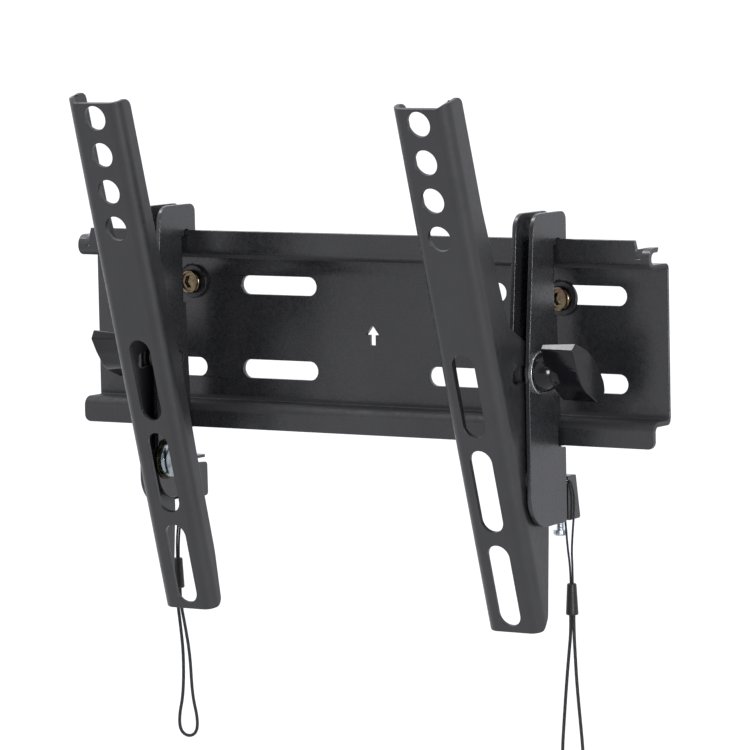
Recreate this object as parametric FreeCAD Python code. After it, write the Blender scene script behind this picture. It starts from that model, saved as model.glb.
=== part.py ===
import FreeCAD, Part
import math
import os

V = FreeCAD.Vector

# Tilting wall bracket for a flat screen. Millimetres.
# X runs to the right along the wall, Y runs into the wall, Z is up.
# The wall is the plane Y = 0; the origin is the centre of the wall plate's slots.

# ---------------------------------------------------------------- driving dimensions
T = 2.0                    # sheet thickness

# wall plate
PLATE_HALF = 142.9         # half width of the web
WEB_TOP = 32.0             # upper face of the top shelf
WEB_BOT = -33.8            # lower face of the bottom shelf
LIP_TOP = 42.0             # top edge of the upper lip
LIP_TOP_Y = -15.85         # front face of the upper lip
LIP_BOT = -42.7            # lower edge of the bottom lip
LIP_BOT_Y = -14.2          # front face of the bottom lip
LIP_HALF = 136.7           # half length of the upper lip between its end notches
TAB_TOP = 38.9             # top of the two end tabs
TAB_BACK = -7.2            # how far the end tabs turn back
TAB_R = 4.4                # outer bend radius of the end tabs
SLIT_Z = 38.3              # foot of the slit between the lip and each end tab
BEND_IN = 1.0              # inner bend radius of the brackets
SHELF_R = 2.4              # outer bend radius between web and shelves
LIP_R = 4.0                # outer bend radius between shelves and lips
SLOT_ROW = 18.0            # slot rows above and below the centre
SLOT_X = (47.3, 104.9)     # slot centres from the middle
SLOT_LEN = 38.6
SLOT_W = 8.0
BOLTS = ((-91.3, 18.9), (94.0, 16.55))      # wall bolts, in the outer slots of the upper row

# hook bracket (U of two cheeks); local x is measured from its middle, + outwards
XC_R = 94.65               # middle of the right bracket
XC_L = -90.75              # middle of the left bracket
CHEEK_OUT = 5.05           # outer faces of the cheeks
CHEEK_IN = 3.05            # inner faces of the cheeks

# tilt
PIV_Y, PIV_Z = -33.0, -54.6      # tilt pivot
KNOB_Y, KNOB_Z = -30.8, -11.1    # clamp stud
TILT_R, TILT_L = 16.8, 15.5      # tilt of each arm as shown
TILT_MIN, TILT_MAX = 1.0, 17.5   # ends of the arc slot
PIV_R = 4.0                      # pivot shank radius
STUD_R = 2.95                    # clamp stud radius

# arm; s runs down the arm from the first hole, d runs back from its face
ARM_TOP, ARM_END = -6.5, 220.2
EAR_TOP = -7.9             # the outer flange stands a little above the face
ARM_IN = -24.6             # outer face of the shallow inner flange (local x)
ARM_OUT = 1.9              # outer face of the deep outer flange
ARM_HOLE_X = -12.1         # hole line
ARM_HOLE_R = 5.3
ARM_PITCH = 16.1
ARM_SLOTS = (115.85, 157.65, 199.45)
ARM_SLOT_LEN, ARM_SLOT_W = 36.0, 10.5
ARM_BEND_OUT, ARM_BEND_INN = 5.4, 5.2      # outer bend radii
PIV_S, PIV_D = 156.85, 13.5      # pivot in arm coordinates

# catch
CATCH_T = 1.2
CATCH_TOP = -55.6
CATCH_TRAVEL = 6.4
FINGER_TOP = -37.3
SCREW_Y = -8.2
SCREW_END = -80.8          # lower face of the locking screw's head
LEG_FRONT = -19.8          # front edge of the catch's guide legs
PIN_Y, PIN_Z = -17.0, -66.0
HOLE_Y, HOLE_Z = -8.75, -58.1    # string notch

# cord
STRING_D = 0.9
PULL_D = 1.4
BEAD_TOP, BEAD_LEN = -100.4, 13.2
BEAD_R0, BEAD_R1 = 1.95, 2.65    # bead radius at the top and at the foot

os.makedirs("parts", exist_ok=True)


# ---------------------------------------------------------------- helpers
def loop2d(pts):
    """Closed outline from (a, b) or (a, b, r) points, corners rounded by r: list of 2-D segments."""
    n = len(pts)
    P = [(p[0], p[1]) for p in pts]
    R = [p[2] if len(p) > 2 else 0.0 for p in pts]
    cut = []
    for i in range(n):
        a, b, c = P[i - 1], P[i], P[(i + 1) % n]
        if R[i] <= 0:
            cut.append((b, None, b))
            continue
        ux, uy = a[0] - b[0], a[1] - b[1]
        wx, wy = c[0] - b[0], c[1] - b[1]
        lu, lw = math.hypot(ux, uy), math.hypot(wx, wy)
        ux, uy, wx, wy = ux / lu, uy / lu, wx / lw, wy / lw
        ang = math.acos(max(-1.0, min(1.0, ux * wx + uy * wy)))
        t = R[i] / math.tan(ang / 2)
        bx, by = ux + wx, uy + wy
        lb = math.hypot(bx, by)
        k = R[i] / math.sin(ang / 2) - R[i]
        mid = (b[0] + bx / lb * k, b[1] + by / lb * k)
        cut.append(((b[0] + ux * t, b[1] + uy * t), mid, (b[0] + wx * t, b[1] + wy * t)))
    segs = []
    for i in range(n):
        s, m, e = cut[i]
        if m is not None:
            segs.append(("arc", s, m, e))
        nxt = cut[(i + 1) % n][0]
        if math.hypot(nxt[0] - e[0], nxt[1] - e[1]) > 1e-6:
            segs.append(("line", e, nxt))
    return segs


def face_of(pts, to3d):
    edges = []
    for s in loop2d(pts):
        if s[0] == "line":
            edges.append(Part.LineSegment(to3d(*s[1]), to3d(*s[2])).toShape())
        else:
            edges.append(Part.Arc(to3d(*s[1]), to3d(*s[2]), to3d(*s[3])).toShape())
    return Part.Face(Part.Wire(edges))


def prism_x(pts, x0, x1):
    """Outline in (Y, Z), from x0 to x1."""
    return face_of(pts, lambda a, b: V(x0, a, b)).extrude(V(x1 - x0, 0, 0))


def prism_y(pts, y0, y1):
    """Outline in (X, Z), from y0 to y1."""
    return face_of(pts, lambda a, b: V(a, y0, b)).extrude(V(0, y1 - y0, 0))


def prism_z(pts, z0, z1):
    """Outline in (X, Y), from z0 to z1."""
    return face_of(pts, lambda a, b: V(a, b, z0)).extrude(V(0, 0, z1 - z0))


def box(x0, x1, y0, y1, z0, z1):
    return Part.makeBox(x1 - x0, y1 - y0, z1 - z0, V(x0, y0, z0))


def cyl_x(x0, x1, y, z, r):
    return Part.makeCylinder(r, x1 - x0, V(x0, y, z), V(1, 0, 0))


def cyl_y(y0, y1, x, z, r):
    return Part.makeCylinder(r, y1 - y0, V(x, y0, z), V(0, 1, 0))


def cyl_z(z0, z1, x, y, r):
    return Part.makeCylinder(r, z1 - z0, V(x, y, z0), V(0, 0, 1))


def stadium(ca, cb, length, width, along):
    """Slot outline centred on (ca, cb)."""
    h, r = length / 2.0, width / 2.0 - 1e-4
    if along == 0:
        return [(ca - h, cb - width / 2, r), (ca + h, cb - width / 2, r),
                (ca + h, cb + width / 2, r), (ca - h, cb + width / 2, r)]
    return [(ca - width / 2, cb - h, r), (ca + width / 2, cb - h, r),
            (ca + width / 2, cb + h, r), (ca - width / 2, cb + h, r)]


def cross_recess(axis_pt, axis, depth, arm, wide):
    """Cross-shaped driver recess to cut from a screw head; axis points out of the head."""
    r = Part.makeBox(arm, wide, depth + 0.5, V(-arm / 2, -wide / 2, -depth))
    q = Part.makeBox(wide, arm, depth + 0.5, V(-wide / 2, -arm / 2, -depth))
    c = r.fuse(q)
    rot = FreeCAD.Rotation(V(0, 0, 1), V(*axis))
    c.Placement = FreeCAD.Placement(V(*axis_pt), rot)
    return c


def tube(points, d, name):
    """Round cord: straight runs joined by tangent arcs, on the given route."""
    P = [V(*p) for p in points]
    n = len(P)
    start = P[0]
    edges, radii, length = [], [], 0.0
    for i in range(1, n - 1):
        a = P[i - 1] - P[i]
        b = P[i + 1] - P[i]
        la, lb = a.Length, b.Length
        a.normalize()
        b.normalize()
        turn = math.pi - math.acos(max(-1.0, min(1.0, a.dot(b))))
        if turn < 1e-4:
            continue
        cut = 0.45 * min(la, lb)
        rad = cut / math.tan(turn / 2)
        radii.append(rad)
        t0 = P[i] + a * cut
        t1 = P[i] + b * cut
        bis = a + b
        bis.normalize()
        mid = P[i] + bis * (rad / math.cos(turn / 2) - rad)
        edges.append(Part.LineSegment(start, t0).toShape())
        edges.append(Part.Arc(t0, mid, t1).toShape())
        start = t1
    edges.append(Part.LineSegment(start, P[-1]).toShape())
    wire = Part.Wire(edges)
    length = wire.Length
    direction = P[1] - P[0]
    prof = Part.Wire([Part.Circle(P[0], direction, d / 2).toShape()])
    sol = wire.makePipeShell([prof], True, True)
    print("%s length %.1f min bend %.2f volume/ideal %.4f valid %s"
          % (name, length, min(radii), sol.Volume / (math.pi * d * d / 4 * length), sol.isValid()))
    return sol


def place(shape, side):
    """Local shape (outer side +x) to its place on the rail."""
    s = shape.copy()
    if side == "left":
        s = s.mirror(V(0, 0, 0), V(1, 0, 0))
        s.translate(V(XC_L, 0, 0))
    else:
        s.translate(V(XC_R, 0, 0))
    return s


def out(shape, node):
    s = shape
    if len(s.Solids) == 1 and s.ShapeType != "Solid":
        s = s.Solids[0]
    bb = s.BoundBox
    print("%-22s solids %d valid %s vol %.1f  box x %.1f %.1f y %.1f %.1f z %.1f %.1f"
          % (node, len(s.Solids), s.isValid(), s.Volume, bb.XMin, bb.XMax, bb.YMin, bb.YMax, bb.ZMin, bb.ZMax))
    s.exportStep("parts/%s.step" % node)


# ---------------------------------------------------------------- wall plate
RO = BEND_IN + T
plate_profile = [
    (0.0, WEB_TOP, SHELF_R), (LIP_TOP_Y + T, WEB_TOP, LIP_R - T), (LIP_TOP_Y + T, LIP_TOP, 0.5), (LIP_TOP_Y, LIP_TOP, 0.5),
    (LIP_TOP_Y, WEB_TOP - T, LIP_R), (-T, WEB_TOP - T, 0.6), (-T, WEB_BOT + T, 0.6),
    (LIP_BOT_Y, WEB_BOT + T, LIP_R), (LIP_BOT_Y, LIP_BOT, 0.5), (LIP_BOT_Y + T, LIP_BOT, 0.5),
    (LIP_BOT_Y + T, WEB_BOT, LIP_R - T), (0.0, WEB_BOT, SHELF_R)]
plate = prism_x(plate_profile, -PLATE_HALF, PLATE_HALF)

# the lip is slit near its ends, and the end tabs turn back towards the wall from the foot of the slit
TAB_FOOT = WEB_TOP + LIP_R - T + 0.2


def tab_points():
    """Section of the tab where it has turned back fully, and the upright section it grows out of: same number of points."""
    n = 8
    cy, cz, ri = LIP_TOP_Y + TAB_R, TAB_TOP - TAB_R, TAB_R - T
    bent, flat = [(LIP_TOP_Y, TAB_FOOT)], [(LIP_TOP_Y, TAB_FOOT)]
    for i in range(n + 1):
        a = math.pi / 2 * i / n
        bent.append((cy - TAB_R * math.cos(a), cz + TAB_R * math.sin(a)))
        flat.append((LIP_TOP_Y, cz + (SLIT_Z - cz) * i / n))
    bent += [(TAB_BACK, TAB_TOP), (TAB_BACK - 2.0, TAB_TOP - T)]
    flat += [(LIP_TOP_Y + 0.7, SLIT_Z), (LIP_TOP_Y + 1.4, SLIT_Z)]
    for i in range(n, -1, -1):
        a = math.pi / 2 * i / n
        bent.append((cy - ri * math.cos(a), cz + ri * math.sin(a)))
        flat.append((LIP_TOP_Y + T, cz + (SLIT_Z - cz) * i / n))
    bent.append((LIP_TOP_Y + T, TAB_FOOT))
    flat.append((LIP_TOP_Y + T, TAB_FOOT))
    return flat, bent


def section_wire(pts, x):
    P = [V(x, a, b) for a, b in pts]
    return Part.makePolygon(P + [P[0]])


for sgn in (-1, 1):
    x0, x1 = sorted((sgn * LIP_HALF, sgn * (PLATE_HALF + 5)))
    plate = plate.cut(box(x0, x1, LIP_TOP_Y - 1, -5.0, TAB_FOOT, LIP_TOP + 5))
    plate = plate.cut(prism_y([(sgn * LIP_HALF, SLIT_Z), (sgn * (PLATE_HALF + 5), SLIT_Z), (sgn * (PLATE_HALF + 5), LIP_TOP + 3.7),
                               (sgn * (LIP_HALF - 1.8), LIP_TOP + 3.7)], LIP_TOP_Y - 1, -5.0))
    flat, bent = tab_points()
    xm = sgn * (LIP_HALF + 2.6)
    tab_solid = Part.makeLoft([section_wire(flat, sgn * LIP_HALF), section_wire(bent, xm)], True, True)
    tab_solid = tab_solid.fuse(Part.makeLoft([section_wire(bent, xm), section_wire(bent, sgn * PLATE_HALF)], True, True))
    # rounded outer corners of the tab
    e = sgn * PLATE_HALF
    i = sgn * (LIP_HALF - 4)
    window = prism_z([(i, -30.0), (e, -30.0), (e, TAB_BACK, 1.4), (i, TAB_BACK)] if sgn > 0 else
                     [(e, -30.0), (i, -30.0), (i, TAB_BACK), (e, TAB_BACK, 1.4)], 20, 50)
    plate = plate.fuse(tab_solid.common(window))

# rounded corners of the sheet: web and bottom lip ends
end_front = prism_y([(-PLATE_HALF - 1, LIP_BOT - 1), (PLATE_HALF + 1, LIP_BOT - 1),
                     (PLATE_HALF + 1, LIP_TOP + 6), (-PLATE_HALF - 1, LIP_TOP + 6)], -30, 5)
for sgn in (-1, 1):
    c = 3.0
    cx = sgn * (PLATE_HALF - c)
    corner = box(min(cx, sgn * (PLATE_HALF + 1)), max(cx, sgn * (PLATE_HALF + 1)), LIP_BOT_Y - 1, LIP_BOT_Y + T + 0.2,
                 LIP_BOT - 1, LIP_BOT + c)
    corner = corner.cut(cyl_y(LIP_BOT_Y - 2, LIP_BOT_Y + T + 2, cx, LIP_BOT + c, c))
    plate = plate.cut(corner)

for row in (-1, 1):
    for cx in SLOT_X:
        for sgn in (-1, 1):
            plate = plate.cut(prism_y(stadium(sgn * cx, row * SLOT_ROW, SLOT_LEN, SLOT_W, 0), -T - 2, 2))
# plain up-arrow cut-out in the middle of the web
arrow = [(0.0, 2.6), (3.3, -1.6), (1.5, -1.6), (1.5, -6.0), (-1.5, -6.0), (-1.5, -1.6), (-3.3, -1.6)]
plate = plate.cut(prism_y(arrow, -T - 2, 2))
out(plate, "wall_plate")

# ---------------------------------------------------------------- wall bolts and washers
bolts, washers = [], []
for bx, bz in BOLTS:
    w = cyl_y(-T - 1.6, -T, bx, bz, 7.2).cut(cyl_y(-T - 3, 0, bx, bz, 3.3))
    w = w.makeFillet(0.5, [e for e in w.Edges if e.Curve.TypeId == "Part::GeomCircle" and abs(e.Curve.Radius - 7.2) < 1e-3
                           and abs(e.Curve.Center.y + T + 1.6) < 1e-3])
    washers.append(w)
    top = -T - 1.6 - 2.6
    head = cyl_y(top, -T - 1.6, bx, bz, 5.2)
    head = head.cut(cyl_y(top - 1, top + 0.8, bx, bz, 3.9))          # dished top inside a rim
    head = head.makeFillet(0.75, [e for e in head.Edges if e.Curve.TypeId == "Part::GeomCircle" and abs(e.Curve.Radius - 5.2) < 1e-3
                                  and abs(e.Curve.Center.y - top) < 1e-3])
    hexp = [(bx + 2.9 * math.cos(math.radians(60 * k + 8)), bz + 2.9 * math.sin(math.radians(60 * k + 8))) for k in range(6)]
    head = head.cut(prism_y(hexp, top - 1, top + 2.2))
    shank = cyl_y(-T - 1.7, -0.1, bx, bz, 2.45)
    bolts.append(head.fuse(shank).removeSplitter())
out(Part.makeCompound(washers), "wall_washers")
out(Part.makeCompound(bolts), "wall_bolts")

# ---------------------------------------------------------------- hook bracket
NOTCH_Z = LIP_TOP + 0.3
REAR = LIP_TOP_Y - 0.35
LOW_REAR = LIP_BOT_Y - 0.35
cheek_top = [
    (-33.2, 53.0, 6.5), (-8.1, 53.0, 3.5), (-8.1, 36.0, 1.6), (LIP_TOP_Y + T + 0.35, 36.0, 1.6),
    (LIP_TOP_Y + T + 0.35, NOTCH_Z, 0.6), (REAR, NOTCH_Z, 0.6), (REAR, 8.0), (LOW_REAR, -31.0)]
# the outer cheek reaches back under the bottom lip, the inner one stops short of it and is a little shorter
cheek_outer = cheek_top + [(LOW_REAR, LIP_BOT - 0.7, 0.6), (-10.8, LIP_BOT - 0.7, 0.8), (-10.8, -74.2, 1.2),
                           (-38.8, -75.3, 12.5), (-38.6, -8.0, 60.0)]
cheek_inner = cheek_top + [(LOW_REAR, LIP_BOT - 0.7, 0.6), (-16.0, LIP_BOT - 0.7, 0.6), (-16.0, -57.5, 1.0), (-10.8, -57.5, 1.0),
                           (-10.8, -74.0, 1.2), (-15.2, -74.0, 1.2), (-18.0, -71.6, 1.0), (-38.9, -71.6, 11.0), (-38.6, -8.0, 60.0)]
hook = prism_x(cheek_outer, CHEEK_IN, CHEEK_OUT).fuse(prism_x(cheek_inner, -CHEEK_OUT, -CHEEK_IN))
# the two webs that join the cheeks at the back, rounded as a bend
for z0, z1, y1 in ((11.0, 39.5, REAR), (-42.8, -33.0, LOW_REAR)):
    web = prism_z([(-CHEEK_OUT, y1 - 6.0), (-CHEEK_OUT, y1, RO), (CHEEK_OUT, y1, RO), (CHEEK_OUT, y1 - 6.0),
                   (CHEEK_IN, y1 - 6.0), (CHEEK_IN, y1 - T, BEND_IN), (-CHEEK_IN, y1 - T, BEND_IN), (-CHEEK_IN, y1 - 6.0)],
                  z0, z1)
    # bend: take the square rear corners off the cheeks over the web's height
    for sgn in (-1, 1):
        cx = sgn * CHEEK_OUT
        sq = box(min(cx, cx - sgn * RO), max(cx, cx - sgn * RO), y1 - RO, y1 + 0.05, z0, z1)
        sq = sq.cut(cyl_z(z0 - 1, z1 + 1, cx - sgn * RO, y1 - RO, RO))
        hook = hook.cut(sq)
    hook = hook.fuse(web)
SKIN = CHEEK_OUT - 0.8     # pivot and guide pin are let into the outer cheek from inside
# floor that carries the locking screw
floor = prism_z([(-CHEEK_IN - 0.2, -14.2), (CHEEK_IN + 0.2, -14.2), (CHEEK_IN + 0.2, -11.2), (2.3, -11.2), (2.3, -5.4, 2.0),
                 (-2.3, -5.4, 2.0), (-2.3, -11.2), (-CHEEK_IN - 0.2, -11.2)], -73.9, -71.9)
hook = hook.fuse(floor)
hook = hook.cut(cyl_x(-8, SKIN, PIV_Y, PIV_Z, PIV_R + 0.1))
hook = hook.cut(cyl_x(-8, 8, KNOB_Y, KNOB_Z, STUD_R + 0.3))
hook = hook.cut(cyl_x(-8, SKIN, PIN_Y, PIN_Z, 1.5))
hook = hook.cut(cyl_z(-76, -70, 0, SCREW_Y, 1.55))
hook = hook.removeSplitter()

# nut for the clamp stud, on the inner cheek
nut_pts = [(KNOB_Y + 5.77 * math.cos(math.radians(60 * k)), KNOB_Z + 5.77 * math.sin(math.radians(60 * k))) for k in range(6)]
nut = prism_x(nut_pts, -CHEEK_OUT - 5.0, -CHEEK_OUT)
cone = Part.makeCone(5.2, 6.6, 1.4, V(-CHEEK_OUT - 5.0, KNOB_Y, KNOB_Z), V(1, 0, 0)).fuse(
    cyl_x(-CHEEK_OUT - 3.6, -CHEEK_OUT + 1, KNOB_Y, KNOB_Z, 6.6))
nut = nut.common(cone).cut(cyl_x(-CHEEK_OUT - 6, 0, KNOB_Y, KNOB_Z, 3.0))

# pivot bolt, pan head and washer on the inner side
hx = -CHEEK_OUT
pivot_washer = cyl_x(hx - 1.0, hx, PIV_Y, PIV_Z, 8.6).cut(cyl_x(hx - 2, hx + 1, PIV_Y, PIV_Z, PIV_R + 0.2))
ph = cyl_x(hx - 4.4, hx - 1.0, PIV_Y, PIV_Z, 7.8)
ph = ph.makeFillet(2.5, [e for e in ph.Edges if e.Curve.TypeId == "Part::GeomCircle" and abs(e.Curve.Center.x - (hx - 4.4)) < 1e-3])
ph = ph.cut(cross_recess((hx - 4.4, PIV_Y, PIV_Z), (-1, 0, 0), 2.0, 5.2, 1.25))
pivot_bolt = ph.fuse(cyl_x(hx - 1.1, SKIN, PIV_Y, PIV_Z, PIV_R)).removeSplitter()


def ring_pair(y, z, r_in, r_out):
    a = cyl_x(ARM_OUT + 0.1, CHEEK_IN, y, z, r_out).cut(cyl_x(-8, 8, y, z, r_in))
    b = cyl_x(-CHEEK_IN, ARM_OUT - T - 0.1, y, z, r_out).cut(cyl_x(-8, 8, y, z, r_in))
    return Part.makeCompound([a, b])


pivot_spacers = ring_pair(PIV_Y, PIV_Z, PIV_R + 0.15, 5.4)
clamp_discs = ring_pair(KNOB_Y, KNOB_Z, STUD_R + 0.3, 6.6)

guide_pin = cyl_x(-CHEEK_OUT - 0.6, SKIN, PIN_Y, PIN_Z, 1.5)
guide_pin = guide_pin.fuse(cyl_x(-CHEEK_OUT - 1.3, -CHEEK_OUT, PIN_Y, PIN_Z, 2.6)).removeSplitter()

# ---------------------------------------------------------------- arm (built upright: Y = d, Z = -s, then tilted)
ro, ri = ARM_BEND_OUT, ARM_BEND_INN
section = [(ARM_IN, 60.0), (ARM_IN, 0.0, ri), (ARM_OUT, 0.0, ro), (ARM_OUT, 60.0), (ARM_OUT - T, 60.0),
           (ARM_OUT - T, T, ro - T), (ARM_IN + T, T, ri - T), (ARM_IN + T, 60.0)]
channel = prism_z(section, -ARM_END, -EAR_TOP)
channel = channel.cut(prism_y([(ARM_IN - 2, -ARM_TOP), (ARM_OUT - ro + 1.0, -ARM_TOP, 3.0), (ARM_OUT - 1.2, -EAR_TOP + 0.4), (ARM_OUT - 1.2, 20), (ARM_IN - 2, 20)], -2, 6.5))


def sd(pts):
    """(s, d[, r]) to (Y, Z[, r])."""
    return [(p[1], -p[0]) + tuple(p[2:]) for p in pts]


outer_outline = sd([(EAR_TOP, -2.0), (EAR_TOP, 12.9, 3.4), (40.0, 13.2, 60.0), (86.0, 16.4, 30.0), (92.0, 17.0, 2.0),
                    (109.5, 34.5, 5.0), (124.5, 34.5, 6.0), (137.0, 23.2, 8.0), (180.0, 20.0, 20.0),
                    (215.8, 7.4, 5.0), (ARM_END, 3.0, 2.5), (ARM_END, -2.0)])
inner_outline = sd([(ARM_TOP, -2.0), (ARM_TOP, 9.8, 4.2), (60.0, 10.2, 80.0), (105.0, 10.8, 80.0), (150.0, 9.6, 80.0),
                    (196.0, 9.2, 60.0), (ARM_END, 7.0, 4.0), (ARM_END, -2.0)])
arm = channel.common(prism_x(outer_outline, ARM_HOLE_X, ARM_OUT + 3)).fuse(
    channel.common(prism_x(inner_outline, ARM_IN - 3, ARM_HOLE_X)))
arm = arm.removeSplitter()
for k in range(4):
    arm = arm.cut(cyl_y(-3, 6, ARM_HOLE_X, -k * ARM_PITCH, ARM_HOLE_R))
for s in ARM_SLOTS:
    arm = arm.cut(prism_y(stadium(ARM_HOLE_X, -s, ARM_SLOT_LEN, ARM_SLOT_W, 1), -3, 6))
arm = arm.cut(cyl_x(-4, 4, PIV_D, -PIV_S, PIV_R + 0.06))
# arc slot for the clamp stud, about the pivot
RK = math.hypot(KNOB_Y - PIV_Y, KNOB_Z - PIV_Z)
LEAN = math.degrees(math.atan2(KNOB_Y - PIV_Y, KNOB_Z - PIV_Z))
SW = STUD_R + 0.35


def arc_pt(rad, tilt):
    a = math.radians(LEAN + tilt)
    return V(-4, PIV_D + rad * math.sin(a), -PIV_S + rad * math.cos(a))


lo, hi = TILT_MIN - 0.4, TILT_MAX + 0.4
mid = (lo + hi) / 2
end_lo = arc_pt(RK, lo) + (arc_pt(RK, lo) - arc_pt(RK, lo + 0.1)).normalize() * SW
end_hi = arc_pt(RK, hi) + (arc_pt(RK, hi) - arc_pt(RK, hi - 0.1)).normalize() * SW
arc_wire = Part.Wire([
    Part.Arc(arc_pt(RK + SW, lo), arc_pt(RK + SW, mid), arc_pt(RK + SW, hi)).toShape(),
    Part.Arc(arc_pt(RK + SW, hi), end_hi, arc_pt(RK - SW, hi)).toShape(),
    Part.Arc(arc_pt(RK - SW, hi), arc_pt(RK - SW, mid), arc_pt(RK - SW, lo)).toShape(),
    Part.Arc(arc_pt(RK - SW, lo), end_lo, arc_pt(RK + SW, lo)).toShape()])
arm = arm.cut(Part.Face(arc_wire).extrude(V(8, 0, 0)))
arm = arm.removeSplitter()


def tilted(shape, tilt):
    s = shape.copy()
    s.translate(V(0, -PIV_D, PIV_S))
    s.rotate(V(0, 0, 0), V(1, 0, 0), tilt)
    s.translate(V(0, PIV_Y, PIV_Z))
    return s


# ---------------------------------------------------------------- wing knob
WASHER_T = 1.6                   # washer between the cheek and the knob
knob_washer = cyl_x(CHEEK_OUT, CHEEK_OUT + WASHER_T, KNOB_Y, KNOB_Z, 8.9).cut(cyl_x(-8, 20, KNOB_Y, KNOB_Z, STUD_R + 0.35))
kx = CHEEK_OUT + 0.2
K0 = CHEEK_OUT + WASHER_T + 0.1  # foot of the knob
# domed hub, turned about the stud
dome = Part.Wire([
    Part.LineSegment(V(K0, 0, 0), V(K0, 0, 8.2)).toShape(),
    Part.Arc(V(K0, 0, 8.2), V(K0 + 3.4, 0, 7.3), V(K0 + 6.6, 0, 5.0)).toShape(),
    Part.LineSegment(V(K0 + 6.6, 0, 5.0), V(K0 + 9.0, 0, 4.6)).toShape(),
    Part.LineSegment(V(K0 + 9.0, 0, 4.6), V(K0 + 9.0, 0, 0)).toShape(),
    Part.LineSegment(V(K0 + 9.0, 0, 0), V(K0, 0, 0)).toShape()])
hub = Part.Face(dome).revolve(V(0, 0, 0), V(1, 0, 0), 360)
hub.translate(V(0, KNOB_Y, KNOB_Z))
WING_0, WING_1 = kx + 5.8, kx + 22.0
# section of the wing about the stud: it leans, its top towards the front, with a slanted face along its top edge
WING = [(-10.0, 10.0, 1.3), (-7.6, 3.2, 25.0), (-3.2, -5.6, 14.0), (7.6, -12.3, 1.2), (9.6, -12.3, 1.2),
        (12.9, -8.2, 2.0), (12.2, -4.2, 5.0), (7.4, 4.4, 14.0), (0.4, 10.0, 16.0), (-7.0, 13.0, 0.7)]
WING_LEAN = math.radians(36.0)
WING_TURN_L = 12.0               # the left knob is turned a little further


def wing_wire(x, span, thick, slant):
    """Section at x: span along the wing, thickness across it; slant tips the end face."""
    c, n = math.cos(WING_LEAN), math.sin(WING_LEAN)
    pts = []
    for y, z, r in WING:
        a, b = span * (z * c - y * n), thick * (y * c + z * n)
        pts.append((KNOB_Y + b * c - a * n, KNOB_Z + a * c + b * n, r * min(span, thick)))
    return face_of(pts, lambda a, b: V(x + slant * (a - KNOB_Y), a, b)).OuterWire


wing = Part.makeLoft([wing_wire(WING_0, 0.965, 0.62, 0.0), wing_wire(WING_1, 1.0, 1.0, 0.07)], True, True)
knob = hub.fuse(wing).removeSplitter()
stud_end = kx + 12.0
knob = knob.cut(cyl_x(K0 - 1, stud_end, KNOB_Y, KNOB_Z, STUD_R))
stud = cyl_x(-CHEEK_OUT - 6.2, stud_end, KNOB_Y, KNOB_Z, STUD_R)
stud = stud.makeChamfer(0.6, [e for e in stud.Edges if e.Curve.TypeId == "Part::GeomCircle" and e.Curve.Center.x < -CHEEK_OUT - 6])

# ---------------------------------------------------------------- catch
ct = CATCH_TOP
cb = ct - CATCH_T
LEG = CHEEK_IN - 0.4
catch = box(-LEG, LEG, LEG_FRONT, -9.9, cb, ct)                   # top, between the cheeks
catch = catch.fuse(prism_z([(-CHEEK_OUT, -10.0, 0.8), (CHEEK_OUT, -10.0, 0.8), (CHEEK_OUT, -4.0, 1.5), (-CHEEK_OUT, -4.0, 1.5)], cb, ct))
for sgn in (-1, 1):                                                 # guide legs with their slots
    x0, x1 = sorted((sgn * LEG, sgn * (LEG - CATCH_T)))
    leg = prism_x([(LEG_FRONT, ct), (LEG_FRONT + 5.6, ct), (LEG_FRONT + 5.6, -69.6, 1.0), (LEG_FRONT, -69.6, 1.0)], x0, x1)
    leg = leg.cut(prism_x(stadium(PIN_Y, PIN_Z + CATCH_TRAVEL / 2, CATCH_TRAVEL + 3.6, 3.6, 1), x0 - 1, x1 + 1))
    catch = catch.fuse(leg)
catch = catch.fuse(prism_y([(-2.6, cb), (2.6, cb), (2.6, FINGER_TOP, 1.5), (-2.6, FINGER_TOP, 1.5)], -11.7, -11.7 + CATCH_T))
side_o = [(-9.9, ct, 0.6), (-3.6, ct, 1.0), (-0.4, -73.8, 1.0), (-9.9, -74.1, 1.0)]
side_i = [(-9.9, -58.6, 0.6), (-3.4, -58.9, 1.6), (-3.3, -73.4, 1.6), (-9.9, -73.6, 1.0)]
catch = catch.fuse(prism_x(side_o, CHEEK_OUT - CATCH_T, CHEEK_OUT))
catch = catch.fuse(prism_x(side_i, -CHEEK_OUT, -CHEEK_OUT + CATCH_T))
catch = catch.fuse(box(-CHEEK_OUT + 0.3, CHEEK_OUT - 0.3, -4.8, -4.8 + CATCH_T, -72.0, -61.0))
# notch for the string in the front edge of the outer side
catch = catch.cut(cyl_x(3.5, 7.0, HOLE_Y, HOLE_Z, 0.65).fuse(box(3.5, 7.0, -11.0, HOLE_Y, HOLE_Z - 0.65, HOLE_Z + 0.65)))
catch = catch.removeSplitter()

# spring between the floor and the catch, round the locking screw
wire_r, coil_r = 0.3, 2.2
z0, z1 = -71.9 + wire_r, cb - wire_r
helix = Part.makeHelix((z1 - z0) / 6.5, z1 - z0, coil_r)
prof = Part.Wire([Part.Circle(V(coil_r, 0, 0), V(0, 1, 0.15), wire_r).toShape()])
spring = Part.Wire(helix.Edges).makePipeShell([prof], True, True)
spring.translate(V(0, SCREW_Y, z0))

# locking screw, head down
lsh = cyl_z(SCREW_END, SCREW_END + 2.5, 0, SCREW_Y, 2.95)
lsh = lsh.makeFillet(1.2, [e for e in lsh.Edges if e.Curve.TypeId == "Part::GeomCircle" and abs(e.Curve.Center.z - SCREW_END) < 1e-3])
lsh = lsh.cut(cross_recess((0, SCREW_Y, SCREW_END), (0, 0, -1), 1.3, 3.4, 0.8))
lock_screw = lsh.fuse(cyl_z(SCREW_END + 2.4, SCREW_END + 14.5, 0, SCREW_Y, 1.5)).removeSplitter()

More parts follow.
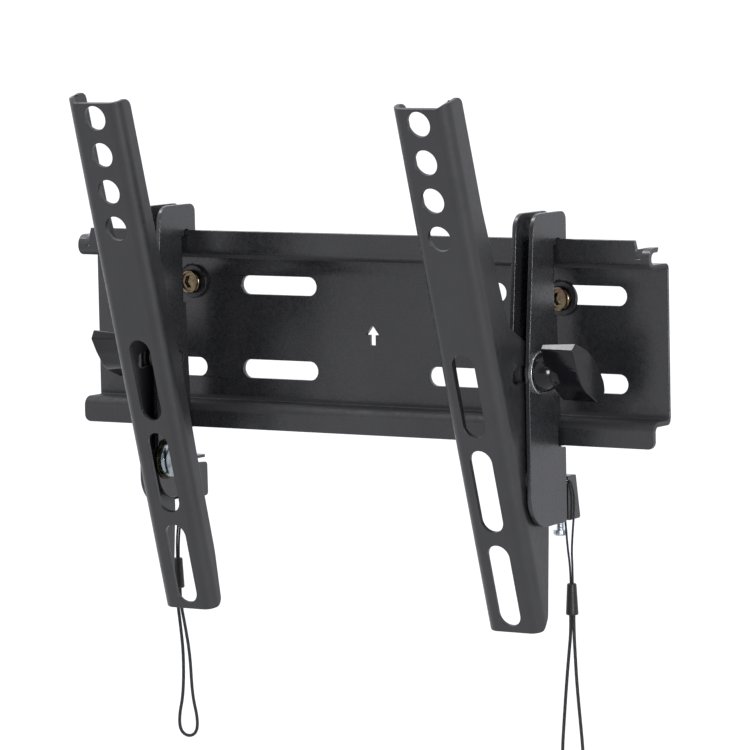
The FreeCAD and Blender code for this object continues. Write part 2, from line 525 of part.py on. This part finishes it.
# ---------------------------------------------------------------- cords and beads (routes in the bracket's local x)
BEAD = {"right": (4.05, -6.6), "left": (6.3, -11.0)}
PULL_SPAN = {"right": (1.8, -3.4), "left": (-1.85, -5.15)}      # where the two strands of the pull loop hang, from the bead
LOOP_LOW = -178.0
string_route, pull_route = {}, {}
for side in ("right", "left"):
    bx, by = BEAD[side]
    top, bot = BEAD_TOP, BEAD_TOP - BEAD_LEN
    k = 0.0 if side == "right" else 1.0
    string_route[side] = [
        (bx + 0.5, by, top), (bx + 0.53, by - 0.05, top + 6.5), (5.0 + 1.6 * k, -7.8 - 2.4 * k, -86.8),
        (5.6 + 0.5 * k, -7.75 - 0.9 * k, -79.0), (5.75, -6.95 - 0.2 * k, -72.6), (5.72, -6.2, -67.0), (5.75, -6.75, -62.6),
        (5.72, -7.85, -60.3), (5.75, HOLE_Y, HOLE_Z), (3.05, HOLE_Y - 0.05, HOLE_Z - 0.1), (3.0, -9.05, -60.6), (3.05, -9.35, -65.5),
        (3.2 - 0.1 * k, -9.75 - 0.1 * k, -72.0), (3.8 + 0.2 * k, -9.8 - 0.3 * k, -79.0), (3.85 + 1.2 * k, -9.0 - 1.5 * k, -85.8),
        (bx - 0.53, by - 0.1 + 0.15 * k, top + 6.5), (bx - 0.5, by, top)]
    xa, xb = PULL_SPAN[side]
    xc = bx + (xa + xb) / 2
    low = LOOP_LOW
    wide = 4.1 - 1.75 * k
    pull_route[side] = [
        (bx + 0.75, by, bot), (bx + 0.74, by - 0.08, bot - 6.5), (bx + 0.5 * xa + 0.3, by - 0.15, bot - 16.5), (bx + xa, by - 0.1, bot - 29.4),
        (xc + wide, by, bot - 46.4), (xc + 4.85, by + 0.1, low + 8.6), (xc + 4.7, by + 0.1, low + 2.7), (xc + 1.95, by, low), (xc - 1.95, by, low),
        (xc - 4.7, by - 0.1, low + 2.7), (xc - 4.85, by - 0.1, low + 8.6), (xc - wide, by, bot - 46.4),
        (bx + xb, by + 0.1, bot - 29.4), (bx + 0.5 * xb - 0.3, by + 0.15, bot - 16.5),
        (bx - 0.74, by + 0.08, bot - 6.5), (bx - 0.75, by, bot)]


def bead_solid(side):
    bx, by = BEAD[side]
    b = Part.makeCone(BEAD_R1, BEAD_R0, BEAD_LEN, V(bx, by, BEAD_TOP - BEAD_LEN), V(0, 0, 1))
    return b.makeFillet(0.7, [e for e in b.Edges if e.Curve.TypeId == "Part::GeomCircle"])


# ---------------------------------------------------------------- write both sides
for side, tilt in (("right", TILT_R), ("left", TILT_L)):
    out(place(hook, side), "hook_" + side)
    out(place(nut, side), "stud_nut_" + side)
    out(place(pivot_bolt, side), "pivot_bolt_" + side)
    out(place(pivot_washer, side), "pivot_washer_" + side)
    out(place(pivot_spacers, side), "pivot_spacers_" + side)
    out(place(clamp_discs, side), "clamp_discs_" + side)
    out(place(guide_pin, side), "guide_pin_" + side)
    out(place(tilted(arm, tilt), side), "arm_" + side)
    out(place(knob_washer, side), "knob_washer_" + side)
    turned = knob.copy()
    if side == "left":
        turned.rotate(V(0, KNOB_Y, KNOB_Z), V(1, 0, 0), WING_TURN_L)
    out(place(turned, side), "knob_" + side)
    out(place(stud, side), "knob_stud_" + side)
    out(place(catch, side), "catch_" + side)
    out(place(spring, side), "catch_spring_" + side)
    out(place(lock_screw, side), "lock_screw_" + side)
    out(place(bead_solid(side), side), "bead_" + side)
    out(place(tube(string_route[side], STRING_D, "string " + side), side), "cord_" + side)
    out(place(tube(pull_route[side], PULL_D, "pull " + side), side), "pull_" + side)
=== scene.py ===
import math
import bpy
import bmesh
from mathutils import Matrix, Vector

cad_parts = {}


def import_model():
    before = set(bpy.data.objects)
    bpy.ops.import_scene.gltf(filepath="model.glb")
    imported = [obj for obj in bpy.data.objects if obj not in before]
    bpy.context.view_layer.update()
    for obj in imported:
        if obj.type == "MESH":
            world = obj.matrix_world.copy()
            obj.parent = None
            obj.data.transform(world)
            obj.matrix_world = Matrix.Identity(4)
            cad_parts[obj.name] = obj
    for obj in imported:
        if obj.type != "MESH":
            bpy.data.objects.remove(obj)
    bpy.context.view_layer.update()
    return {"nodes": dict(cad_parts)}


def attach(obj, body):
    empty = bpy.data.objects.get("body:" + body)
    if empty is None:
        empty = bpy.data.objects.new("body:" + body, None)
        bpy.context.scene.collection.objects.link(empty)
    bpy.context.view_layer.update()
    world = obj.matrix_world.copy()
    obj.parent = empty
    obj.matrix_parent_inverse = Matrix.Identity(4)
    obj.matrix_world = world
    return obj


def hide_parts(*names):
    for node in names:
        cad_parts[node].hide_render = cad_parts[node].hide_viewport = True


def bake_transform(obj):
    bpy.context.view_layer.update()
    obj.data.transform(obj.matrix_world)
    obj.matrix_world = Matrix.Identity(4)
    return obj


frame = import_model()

nodes = frame["nodes"]
scene = bpy.context.scene
root = scene.collection
SIDES = ("right", "left")

# ------------------------------------------------------------------ camera
AZ, EL, ROLL = math.radians(33.419), math.radians(5.487), math.radians(-1.1505)
EYE = Vector((1.1062, -1.67701, 0.17431))
ahead = Vector((-math.sin(AZ) * math.cos(EL), math.cos(AZ) * math.cos(EL), -math.sin(EL)))
level = Vector((math.cos(AZ), math.sin(AZ), 0.0))
upward = level.cross(ahead)
right = level * math.cos(ROLL) + upward * math.sin(ROLL)
up = upward * math.cos(ROLL) - level * math.sin(ROLL)
cam_data = bpy.data.cameras.new("camera")
cam_data.sensor_fit = "HORIZONTAL"
cam_data.sensor_width = 36.0
cam_data.lens = 4788.06 / 750.0 * 36.0
cam_data.clip_start = 0.05
cam_data.clip_end = 500.0
cam = bpy.data.objects.new("camera", cam_data)
cam.matrix_world = Matrix(((right.x, up.x, -ahead.x, EYE.x), (right.y, up.y, -ahead.y, EYE.y),
                           (right.z, up.z, -ahead.z, EYE.z), (0, 0, 0, 1)))
root.objects.link(cam)
scene.camera = cam


# ------------------------------------------------------------------ cords: the same route points as the solid model
XC = {"right": 94.65, "left": -90.75}
SGN = {"right": 1.0, "left": -1.0}
STRING_D, PULL_D = 0.9, 1.4
BEAD_TOP, BEAD_LEN = -100.4, 13.2
HOLE_Y, HOLE_Z = -8.75, -58.1
LOOP_LOW = -178.0
BEAD = {"right": (4.05, -6.6), "left": (6.3, -11.0)}
PULL_SPAN = {"right": (1.8, -3.4), "left": (-1.85, -5.15)}


def world(side, p):
    """A point in a bracket's own x, y, z in millimetres to the frame in metres."""
    return ((XC[side] + SGN[side] * p[0]) / 1000.0, p[1] / 1000.0, p[2] / 1000.0)


def cord_curve(name, side, points, diameter):
    data = bpy.data.curves.new(name, "CURVE")
    data.dimensions = "3D"
    data.resolution_u = 8
    data.bevel_depth = 1.0          # the thickness is in the points' radius
    data.bevel_resolution = 4
    data.use_fill_caps = True
    sp = data.splines.new("NURBS")
    sp.points.add(len(points) - 1)
    for q, p in zip(sp.points, points):
        q.co = (*world(side, p), 1.0)
        q.radius = diameter / 2000.0
    sp.order_u = 3
    sp.use_endpoint_u = True
    sp.use_smooth = True
    o = bpy.data.objects.new(name, data)
    root.objects.link(o)
    return o


cords = {}
for side in SIDES:
    bx, by = BEAD[side]
    top, bot = BEAD_TOP, BEAD_TOP - BEAD_LEN
    k = 0.0 if side == "right" else 1.0
    string_route = [
        (bx + 0.5, by, top), (bx + 0.53, by - 0.05, top + 6.5), (5.0 + 1.6 * k, -7.8 - 2.4 * k, -86.8),
        (5.6 + 0.5 * k, -7.75 - 0.9 * k, -79.0), (5.75, -6.95 - 0.2 * k, -72.6), (5.72, -6.2, -67.0), (5.75, -6.75, -62.6),
        (5.72, -7.85, -60.3), (5.75, HOLE_Y, HOLE_Z), (3.05, HOLE_Y - 0.05, HOLE_Z - 0.1), (3.0, -9.05, -60.6), (3.05, -9.35, -65.5),
        (3.2 - 0.1 * k, -9.75 - 0.1 * k, -72.0), (3.8 + 0.2 * k, -9.8 - 0.3 * k, -79.0), (3.85 + 1.2 * k, -9.0 - 1.5 * k, -85.8),
        (bx - 0.53, by - 0.1 + 0.15 * k, top + 6.5), (bx - 0.5, by, top)]
    xa, xb = PULL_SPAN[side]
    xc = bx + (xa + xb) / 2
    low = LOOP_LOW
    wide = 4.1 - 1.75 * k
    pull_route = [
        (bx + 0.75, by, bot), (bx + 0.74, by - 0.08, bot - 6.5), (bx + 0.5 * xa + 0.3, by - 0.15, bot - 16.5), (bx + xa, by - 0.1, bot - 29.4),
        (xc + wide, by, bot - 46.4), (xc + 4.85, by + 0.1, low + 8.6), (xc + 4.7, by + 0.1, low + 2.7), (xc + 1.95, by, low), (xc - 1.95, by, low),
        (xc - 4.7, by - 0.1, low + 2.7), (xc - 4.85, by - 0.1, low + 8.6), (xc - wide, by, bot - 46.4),
        (bx + xb, by + 0.1, bot - 29.4), (bx + 0.5 * xb - 0.3, by + 0.15, bot - 16.5),
        (bx - 0.74, by + 0.08, bot - 6.5), (bx - 0.75, by, bot)]
    s = cord_curve("string_" + side, side, string_route, STRING_D)
    p = cord_curve("pull_loop_" + side, side, pull_route, PULL_D)
    cords[side] = (s, p)
    body = "safety_catch_" + side
    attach(s, body)
    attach(p, body)
    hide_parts("cord_" + side)
    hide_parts("pull_" + side)


# ------------------------------------------------------------------ materials
class Mat:
    def __init__(self, name):
        self.m = bpy.data.materials.new(name)
        self.m.use_nodes = True
        self.t = self.m.node_tree
        for n in list(self.t.nodes):
            self.t.nodes.remove(n)
        self.out = self.t.nodes.new("ShaderNodeOutputMaterial")
        self.b = self.t.nodes.new("ShaderNodeBsdfPrincipled")
        self.t.links.new(self.b.outputs["BSDF"], self.out.inputs["Surface"])
        self.co = self.t.nodes.new("ShaderNodeTexCoord").outputs["Object"]

    def link(self, a, b):
        self.t.links.new(a, b)

    def set(self, **kw):
        for k, v in kw.items():
            self.b.inputs[k.replace("_", " ")].default_value = v

    def mapped(self, scale=(1, 1, 1), rot=(0, 0, 0), loc=(0, 0, 0)):
        n = self.t.nodes.new("ShaderNodeMapping")
        n.inputs["Scale"].default_value = scale
        n.inputs["Rotation"].default_value = rot
        n.inputs["Location"].default_value = loc
        self.link(self.co, n.inputs["Vector"])
        return n.outputs["Vector"]

    def noise(self, scale, detail=3.0, rough=0.5, vec=None, distort=0.0):
        n = self.t.nodes.new("ShaderNodeTexNoise")
        n.inputs["Scale"].default_value = scale
        n.inputs["Detail"].default_value = detail
        n.inputs["Roughness"].default_value = rough
        n.inputs["Distortion"].default_value = distort
        self.link(vec if vec is not None else self.co, n.inputs["Vector"])
        return n.outputs["Fac"]

    def voronoi(self, scale, vec=None, feature="F1"):
        n = self.t.nodes.new("ShaderNodeTexVoronoi")
        n.feature = feature
        n.inputs["Scale"].default_value = scale
        self.link(vec if vec is not None else self.co, n.inputs["Vector"])
        return n.outputs["Distance"]

    def wave(self, scale, distort=0.0, vec=None, kind="BANDS", direction="DIAGONAL"):
        n = self.t.nodes.new("ShaderNodeTexWave")
        n.wave_type = kind
        if kind == "BANDS":
            n.bands_direction = direction
        else:
            n.rings_direction = direction
        n.inputs["Scale"].default_value = scale
        n.inputs["Distortion"].default_value = distort
        n.inputs["Detail"].default_value = 1.0
        self.link(vec if vec is not None else self.co, n.inputs["Vector"])
        return n.outputs["Fac"]

    def ramp(self, fac, *stops):
        n = self.t.nodes.new("ShaderNodeValToRGB")
        e = n.color_ramp.elements
        while len(e) < len(stops):
            e.new(0.5)
        for el, (p, c) in zip(e, stops):
            el.position = p
            el.color = (*c, 1.0) if len(c) == 3 else c
        self.link(fac, n.inputs["Fac"])
        return n.outputs["Color"]

    def span(self, fac, lo, hi, f0=0.0, f1=1.0):
        n = self.t.nodes.new("ShaderNodeMapRange")
        n.inputs["From Min"].default_value = f0
        n.inputs["From Max"].default_value = f1
        n.inputs["To Min"].default_value = lo
        n.inputs["To Max"].default_value = hi
        self.link(fac, n.inputs["Value"])
        return n.outputs["Result"]

    def mix(self, fac, a, b):
        n = self.t.nodes.new("ShaderNodeMix")
        n.data_type = "RGBA"
        self.link(fac, n.inputs["Factor"])
        for sock, v in ((n.inputs[6], a), (n.inputs[7], b)):
            if isinstance(v, tuple):
                sock.default_value = (*v, 1.0)
            else:
                self.link(v, sock)
        return n.outputs[2]

    def math(self, op, a, b):
        n = self.t.nodes.new("ShaderNodeMath")
        n.operation = op
        for sock, v in zip(n.inputs, (a, b)):
            if isinstance(v, float):
                sock.default_value = v
            else:
                self.link(v, sock)
        return n.outputs["Value"]

    def height(self):
        n = self.t.nodes.new("ShaderNodeSeparateXYZ")
        self.link(self.co, n.inputs["Vector"])
        return n.outputs["Z"]

    def bump(self, height, strength, distance, under=None):
        n = self.t.nodes.new("ShaderNodeBump")
        n.inputs["Strength"].default_value = strength
        n.inputs["Distance"].default_value = distance
        self.link(height, n.inputs["Height"])
        if under is not None:
            self.link(under, n.inputs["Normal"])
        return n.outputs["Normal"]


def powder(name, tone, rough=0.46, spec=0.5, speck=0.45, fold=()):
    """Fine-textured black powder coat: faint mottling, pin-point flecks and orange peel; more matt along the folds given."""
    m = Mat(name)
    lo = tuple(c * 0.84 for c in tone)
    hi = tuple(c * 1.16 for c in tone)
    mott = m.ramp(m.noise(55.0, 4.0, 0.55), (0.32, lo), (0.68, hi))
    fleck = m.span(m.noise(2100.0, 2.0, 0.6), 0.0, speck, 0.60, 0.78)
    m.link(m.mix(fleck, mott, tuple(c * 2.1 for c in tone)), m.b.inputs["Base Color"])
    gloss = m.span(m.noise(420.0, 3.0, 0.6), rough - 0.07, rough + 0.07, 0.3, 0.7)
    m.set(Specular_IOR_Level=spec, Metallic=0.0, IOR=1.5)
    for z0, z1, z2, z3, more in fold:
        z = m.height()
        inside = m.math("MULTIPLY", m.span(z, 0.0, 1.0, z0, z1), m.span(z, 1.0, 0.0, z2, z3))
        gloss = m.math("ADD", gloss, m.math("MULTIPLY", inside, more))
    m.link(gloss, m.b.inputs["Roughness"])
    peel = m.bump(m.noise(520.0, 2.0, 0.5), 0.10, 0.00035)
    m.link(m.bump(m.noise(1750.0, 3.0, 0.6), 0.13, 0.00016, peel), m.b.inputs["Normal"])
    return m.m


def plastic(name, tone, rough):
    """Moulded black plastic, glossy, with a faint flow pattern and fine handling scratches."""
    m = Mat(name)
    m.link(m.ramp(m.noise(160.0, 4.0, 0.55, distort=0.6), (0.3, tuple(c * 0.75 for c in tone)), (0.7, tuple(c * 1.3 for c in tone))),
           m.b.inputs["Base Color"])
    scr = m.noise(900.0, 4.0, 0.65, m.mapped((1.0, 0.12, 1.0), (0.5, 0.3, 0.0)))
    m.link(m.span(scr, rough - 0.05, rough + 0.07, 0.35, 0.7), m.b.inputs["Roughness"])
    m.link(m.bump(m.noise(260.0, 2.0, 0.5), 0.10, 0.0004), m.b.inputs["Normal"])
    m.set(Specular_IOR_Level=0.26, IOR=1.5)
    return m.m


def plated(name, dark, light, rough, metal=1.0, hue=None, grain=0.08):
    """Plated steel: fine grain, cloudy plating, optional second hue in patches."""
    m = Mat(name)
    col = m.ramp(m.noise(380.0, 4.0, 0.6), (0.3, dark), (0.7, light))
    if hue is not None:
        col = m.mix(m.span(m.noise(240.0, 3.0, 0.5, m.mapped(loc=(0.4, 0.2, 0.7))), 0.0, 0.8, 0.45, 0.68), col, hue)
    m.link(col, m.b.inputs["Base Color"])
    m.link(m.span(m.noise(900.0, 4.0, 0.6), rough - 0.07, rough + 0.1, 0.3, 0.7), m.b.inputs["Roughness"])
    m.link(m.bump(m.noise(1500.0, 3.0, 0.6), grain, 0.0001), m.b.inputs["Normal"])
    m.set(Metallic=metal)
    return m.m


def cord_mat(name, tone, pitch):
    """Twisted synthetic cord: diagonal strands, fibre noise and a soft sheen."""
    m = Mat(name)
    tw = m.wave(pitch, 0.6, m.mapped((1.0, 1.0, 0.55)))
    m.link(m.ramp(tw, (0.1, tuple(c * 0.45 for c in tone)), (0.75, tuple(c * 1.25 for c in tone))), m.b.inputs["Base Color"])
    m.link(m.span(m.noise(3000.0, 3.0, 0.6), 0.55, 0.8, 0.3, 0.7), m.b.inputs["Roughness"])
    m.link(m.bump(m.noise(4200.0, 2.0, 0.6), 0.3, 0.0001, m.bump(tw, 0.55, 0.00018)), m.b.inputs["Normal"])
    m.set(Sheen_Weight=0.08, Sheen_Roughness=0.4, Specular_IOR_Level=0.25)
    return m.m


def rubber(name, tone, rough):
    """Soft moulded bead: matt skin with fine grain and a faint dusty bloom."""
    m = Mat(name)
    dust = m.span(m.noise(700.0, 4.0, 0.6), 0.0, 0.55, 0.45, 0.75)
    m.link(m.mix(dust, m.ramp(m.noise(200.0, 3.0), (0.3, tuple(c * 0.8 for c in tone)), (0.7, tuple(c * 1.2 for c in tone))),
                 tuple(c * 1.8 for c in tone)), m.b.inputs["Base Color"])
    m.link(m.span(m.noise(1200.0, 3.0), rough - 0.08, rough + 0.08, 0.3, 0.7), m.b.inputs["Roughness"])
    m.link(m.bump(m.noise(1900.0, 3.0, 0.6), 0.3, 0.00018), m.b.inputs["Normal"])
    m.set(Specular_IOR_Level=0.26)
    return m.m


COAT = (0.0112, 0.0114, 0.0130)
mats = {
    "plate": powder("powder_plate", COAT, 0.28, fold=((0.0294, 0.0298, 0.0308, 0.0322, 0.66), (-0.0358, -0.0348, -0.0306, -0.0296, 0.36))),
    # the arm and catch coats are darker copies of the plate's coat, painted shade; the hook's coat is a lighter copy,
    # painted light
    "arm": powder("powder_arm_painted_shade", tuple(c * 0.82 for c in COAT), 0.38),
    "hook": powder("powder_hook_painted_light", tuple(c * 1.2 for c in COAT), 0.27),
    "catch": powder("powder_catch_painted_shade", tuple(c * 0.8 for c in COAT), 0.32),
    "knob": plastic("knob_plastic", (0.0030, 0.0031, 0.0042), 0.14),
    "zinc": plated("bright_zinc", (0.36, 0.40, 0.44), (0.56, 0.60, 0.64), 0.27),
    "washer": plated("washer_zinc", (0.46, 0.49, 0.48), (0.62, 0.65, 0.63), 0.28, 1.0, None, 0.03),
    "yellow": plated("yellow_zinc", (0.045, 0.034, 0.020), (0.215, 0.175, 0.105), 0.15, 1.0, (0.11, 0.060, 0.048)),
    "olive": plated("olive_zinc", (0.014, 0.013, 0.007), (0.050, 0.046, 0.022), 0.22, 1.0, (0.030, 0.024, 0.010)),
    "pivot": plated("pivot_zinc", (0.13, 0.155, 0.16), (0.33, 0.38, 0.39), 0.2),
    "black": plated("black_zinc", (0.010, 0.010, 0.012), (0.030, 0.030, 0.034), 0.30, 0.4),
    "spring": plated("spring_steel", (0.26, 0.26, 0.27), (0.46, 0.46, 0.47), 0.3),
    "nylon": rubber("nylon_disc", (0.02, 0.02, 0.02), 0.5),
    "string": cord_mat("string_twist", (0.013, 0.013, 0.015), 420.0),
    "pull": cord_mat("pull_twist", (0.015, 0.016, 0.014), 330.0),
    "bead": rubber("bead_rubber", (0.0085, 0.0090, 0.0070), 0.34),
}


# ------------------------------------------------------------------ carried-over nodes: rounded edges and materials
def mark_sharp(me, angle, keep):
    """Weight the sharp edges that are to be rounded, leaving out the corners that keep() refuses."""
    at = [tuple(round(c * 1e6) for c in v.co) for v in me.vertices]
    turn = {}
    for f in me.polygons:
        for a, b in f.edge_keys:
            turn.setdefault(frozenset((at[a], at[b])), []).append(f.normal.copy())
    layer = me.attributes.new("bevel_weight_edge", "FLOAT", "EDGE")
    for e in me.edges:
        a, b = e.vertices
        n = turn.get(frozenset((at[a], at[b])), ())
        if len(n) == 2 and n[0].angle(n[1], 0.0) > angle and keep(me.vertices[a].co) and keep(me.vertices[b].co):
            layer.data[e.index].value = 1.0


def refine(node, mat, width, angle=32.0, seg=2, dissolve=True, keep=None, clamp=False):
    o = nodes[node]
    if keep is not None:
        mark_sharp(o.data, math.radians(angle), keep)
        rounded = [keep(f.center) for f in o.data.polygons]
    o.data.materials.clear()
    o.data.materials.append(mats[mat])
    for f in o.data.polygons:
        f.material_index = 0
    o.data.shade_smooth()
    if keep is not None:
        for f, r in zip(o.data.polygons, rounded):
            f.use_smooth = r
    w = o.modifiers.new("join", "WELD")
    w.merge_threshold = 2e-6
    if dissolve:
        d = o.modifiers.new("flat", "DECIMATE")
        d.decimate_type = "DISSOLVE"
        d.angle_limit = math.radians(0.4)
    if width > 0:
        b = o.modifiers.new("edge", "BEVEL")
        b.width = width / 1000.0
        b.segments = seg
        b.limit_method = "WEIGHT" if keep is not None else "ANGLE"
        b.angle_limit = math.radians(angle)
        b.use_clamp_overlap = clamp
        b.miter_outer = "MITER_SHARP"
        b.harden_normals = False
    n = o.modifiers.new("normals", "WEIGHTED_NORMAL")
    n.mode = "FACE_AREA_WITH_ANGLE"
    n.weight = 60
    n.keep_sharp = keep is not None


refine("wall_plate", "plate", 0.22, 40.0, 2, False, lambda p: abs(p.x) < 0.1345 or p.z < 0.0285)
refine("wall_bolts", "yellow", 0.15)
refine("wall_washers", "black", 0.2)
for side in SIDES:
    refine("hook_" + side, "hook", 0.28)
    refine("arm_" + side, "arm", 0.28)
    refine("catch_" + side, "catch", 0.18, clamp=True)
    refine("knob_" + side, "knob", 0.4, 32.0, 3)
    refine("knob_stud_" + side, "black", 0.1)
    refine("stud_nut_" + side, "black", 0.2)
    refine("pivot_bolt_" + side, "pivot", 0.15)
    refine("pivot_washer_" + side, "olive", 0.15)
    refine("knob_washer_" + side, "washer", 0.18)
    refine("lock_screw_" + side, "zinc", 0.1)
    refine("guide_pin_" + side, "zinc", 0.15)
    refine("pivot_spacers_" + side, "nylon", 0.1)
    refine("clamp_discs_" + side, "nylon", 0.1)
    refine("bead_" + side, "bead", 0.0)

for side in SIDES:
    cords[side][0].data.materials.append(mats["string"])
    cords[side][1].data.materials.append(mats["pull"])


# ------------------------------------------------------------------ screw threads: a raised helix on the plain shanks
def thread(name, body, mat, start, along, across, radius, pitch, length):
    """Ridge of triangular section winding round a shank from start, in millimetres of the frame."""
    along, across = Vector(along), Vector(across)
    third = along.cross(across)
    steps = 26
    n = int(length / pitch * steps)
    bm = bmesh.new()
    rings = []
    for i in range(n + 1):
        a = 2 * math.pi * i / steps
        fade = min(1.0, i / (0.5 * steps), (n - i) / (0.5 * steps))
        out = across * math.cos(a) + third * math.sin(a)
        h = pitch * i / steps
        ring = []
        for dr, dh in ((-0.03, -0.42), (0.13 * fade - 0.02, -0.07), (0.13 * fade - 0.02, 0.07), (-0.03, 0.42)):
            p = Vector(start) + along * (h + dh * pitch) + out * (radius + dr)
            ring.append(bm.verts.new(p / 1000.0))
        rings.append(ring)
    for q, r in zip(rings, rings[1:]):
        for j in range(3):
            bm.faces.new((q[j], q[j + 1], r[j + 1], r[j]))
        bm.faces.new((q[3], q[0], r[0], r[3]))
    bm.faces.new(rings[0])
    bm.faces.new(reversed(rings[-1]))
    bmesh.ops.recalc_face_normals(bm, faces=bm.faces)
    me = bpy.data.meshes.new(name)
    bm.to_mesh(me)
    bm.free()
    o = bpy.data.objects.new(name, me)
    root.objects.link(o)
    o.data.materials.append(mats[mat])
    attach(o, body)
    return o


for side in SIDES:
    x = XC[side]
    thread("lock_thread_" + side, "screw_" + side, "zinc", (x, -8.2, -78.0), (0, 0, 1), (0, -1, 0), 1.5, 0.62, 3.8)
    sx = x - SGN[side] * 11.15
    thread("stud_thread_" + side, "wing_knob_" + side, "black", (sx, -30.8, -11.1), (SGN[side], 0, 0), (0, -1, 0), 2.95, 0.5, 0.9)


# ------------------------------------------------------------------ catch springs: helical wire coils
def coil_spring(side, z0, z1, coil, wire, turns):
    steps, around = 36, 10
    n = int(steps * turns)
    bm = bmesh.new()
    rings = []
    for i in range(n + 1):
        a = 2 * math.pi * i / steps
        z = z0 + (z1 - z0) * i / n
        ring = []
        for k in range(around):
            b = 2 * math.pi * k / around
            r = coil + wire * math.cos(b)
            ring.append(bm.verts.new(world(side, (r * math.cos(a), -8.2 + r * math.sin(a), z + wire * math.sin(b)))))
        rings.append(ring)
    for q, r in zip(rings, rings[1:]):
        for k in range(around):
            bm.faces.new((q[k], q[(k + 1) % around], r[(k + 1) % around], r[k]))
    bm.faces.new(rings[0])
    bm.faces.new(reversed(rings[-1]))
    bmesh.ops.recalc_face_normals(bm, faces=bm.faces)
    for f in bm.faces:
        f.smooth = True
    me = bpy.data.meshes.new("return_spring_" + side)
    bm.to_mesh(me)
    bm.free()
    o = bpy.data.objects.new("return_spring_" + side, me)
    root.objects.link(o)
    o.data.materials.append(mats["spring"])
    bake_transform(o)
    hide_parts("catch_spring_" + side)


for side in SIDES:
    coil_spring(side, -71.6, -57.1, 2.2, 0.3, 6.5)


# ------------------------------------------------------------------ stage, light
def plane(name, half, z):
    me = bpy.data.meshes.new(name)
    me.from_pydata([(-half, -half, z), (half, -half, z), (half, half, z), (-half, half, z)], [], [(0, 1, 2, 3)])
    o = bpy.data.objects.new(name, me)
    root.objects.link(o)
    return o


floor = plane("floor", 120.0, -0.5)
fm = bpy.data.materials.new("floor_white")
fm.use_nodes = True
fb = fm.node_tree.nodes["Principled BSDF"]
fb.inputs["Base Color"].default_value = (0.865, 0.865, 0.865, 1)
fb.inputs["Roughness"].default_value = 0.9
fb.inputs["Specular IOR Level"].default_value = 0.0
floor.data.materials.append(fm)

wd = bpy.data.worlds.new("studio")
scene.world = wd
wd.use_nodes = True
bg = wd.node_tree.nodes["Background"]
bg.inputs["Color"].default_value = (0.98, 0.985, 1.04, 1.0)
# the room beyond the camera and to its right is dimmer than the white sweep
wt = wd.node_tree
wdir = wt.nodes.new("ShaderNodeTexCoord").outputs["Generated"]
wdot = wt.nodes.new("ShaderNodeVectorMath")
wdot.operation = "DOT_PRODUCT"
wdot.inputs[1].default_value = Vector((0.64, -0.76, 0.06)).normalized()
wt.links.new(wdir, wdot.inputs[0])
wmap = wt.nodes.new("ShaderNodeMapRange")
wmap.interpolation_type = "SMOOTHSTEP"
wmap.inputs["From Min"].default_value = math.cos(math.radians(50.0))
wmap.inputs["From Max"].default_value = math.cos(math.radians(18.0))
wmap.inputs["To Min"].default_value = 1.38
wmap.inputs["To Max"].default_value = 0.40
wt.links.new(wdot.outputs["Value"], wmap.inputs["Value"])
wt.links.new(wmap.outputs["Result"], bg.inputs["Strength"])


def area(name, loc, aim, size, power, colour=(1, 1, 1)):
    d = bpy.data.lights.new(name, "AREA")
    d.shape = "RECTANGLE"
    d.size, d.size_y = size
    d.energy = power
    d.color = colour
    d.spread = math.radians(50.0)
    o = bpy.data.objects.new(name, d)
    z = (Vector(loc) - Vector(aim)).normalized()
    o.matrix_world = Matrix.Translation(loc) @ z.to_track_quat("Z", "Y").to_matrix().to_4x4()
    root.objects.link(o)
    return o


area("soft_high", (-0.71, -0.25, 1.21), (0.11, -0.03, -0.01), (0.5, 0.45), 0.7)
area("soft_right", (1.25, -0.95, 0.14), (0.1, -0.03, 0), (0.34, 0.5), 1.4)

scene.view_settings.view_transform = "Standard"
scene.view_settings.look = "None"
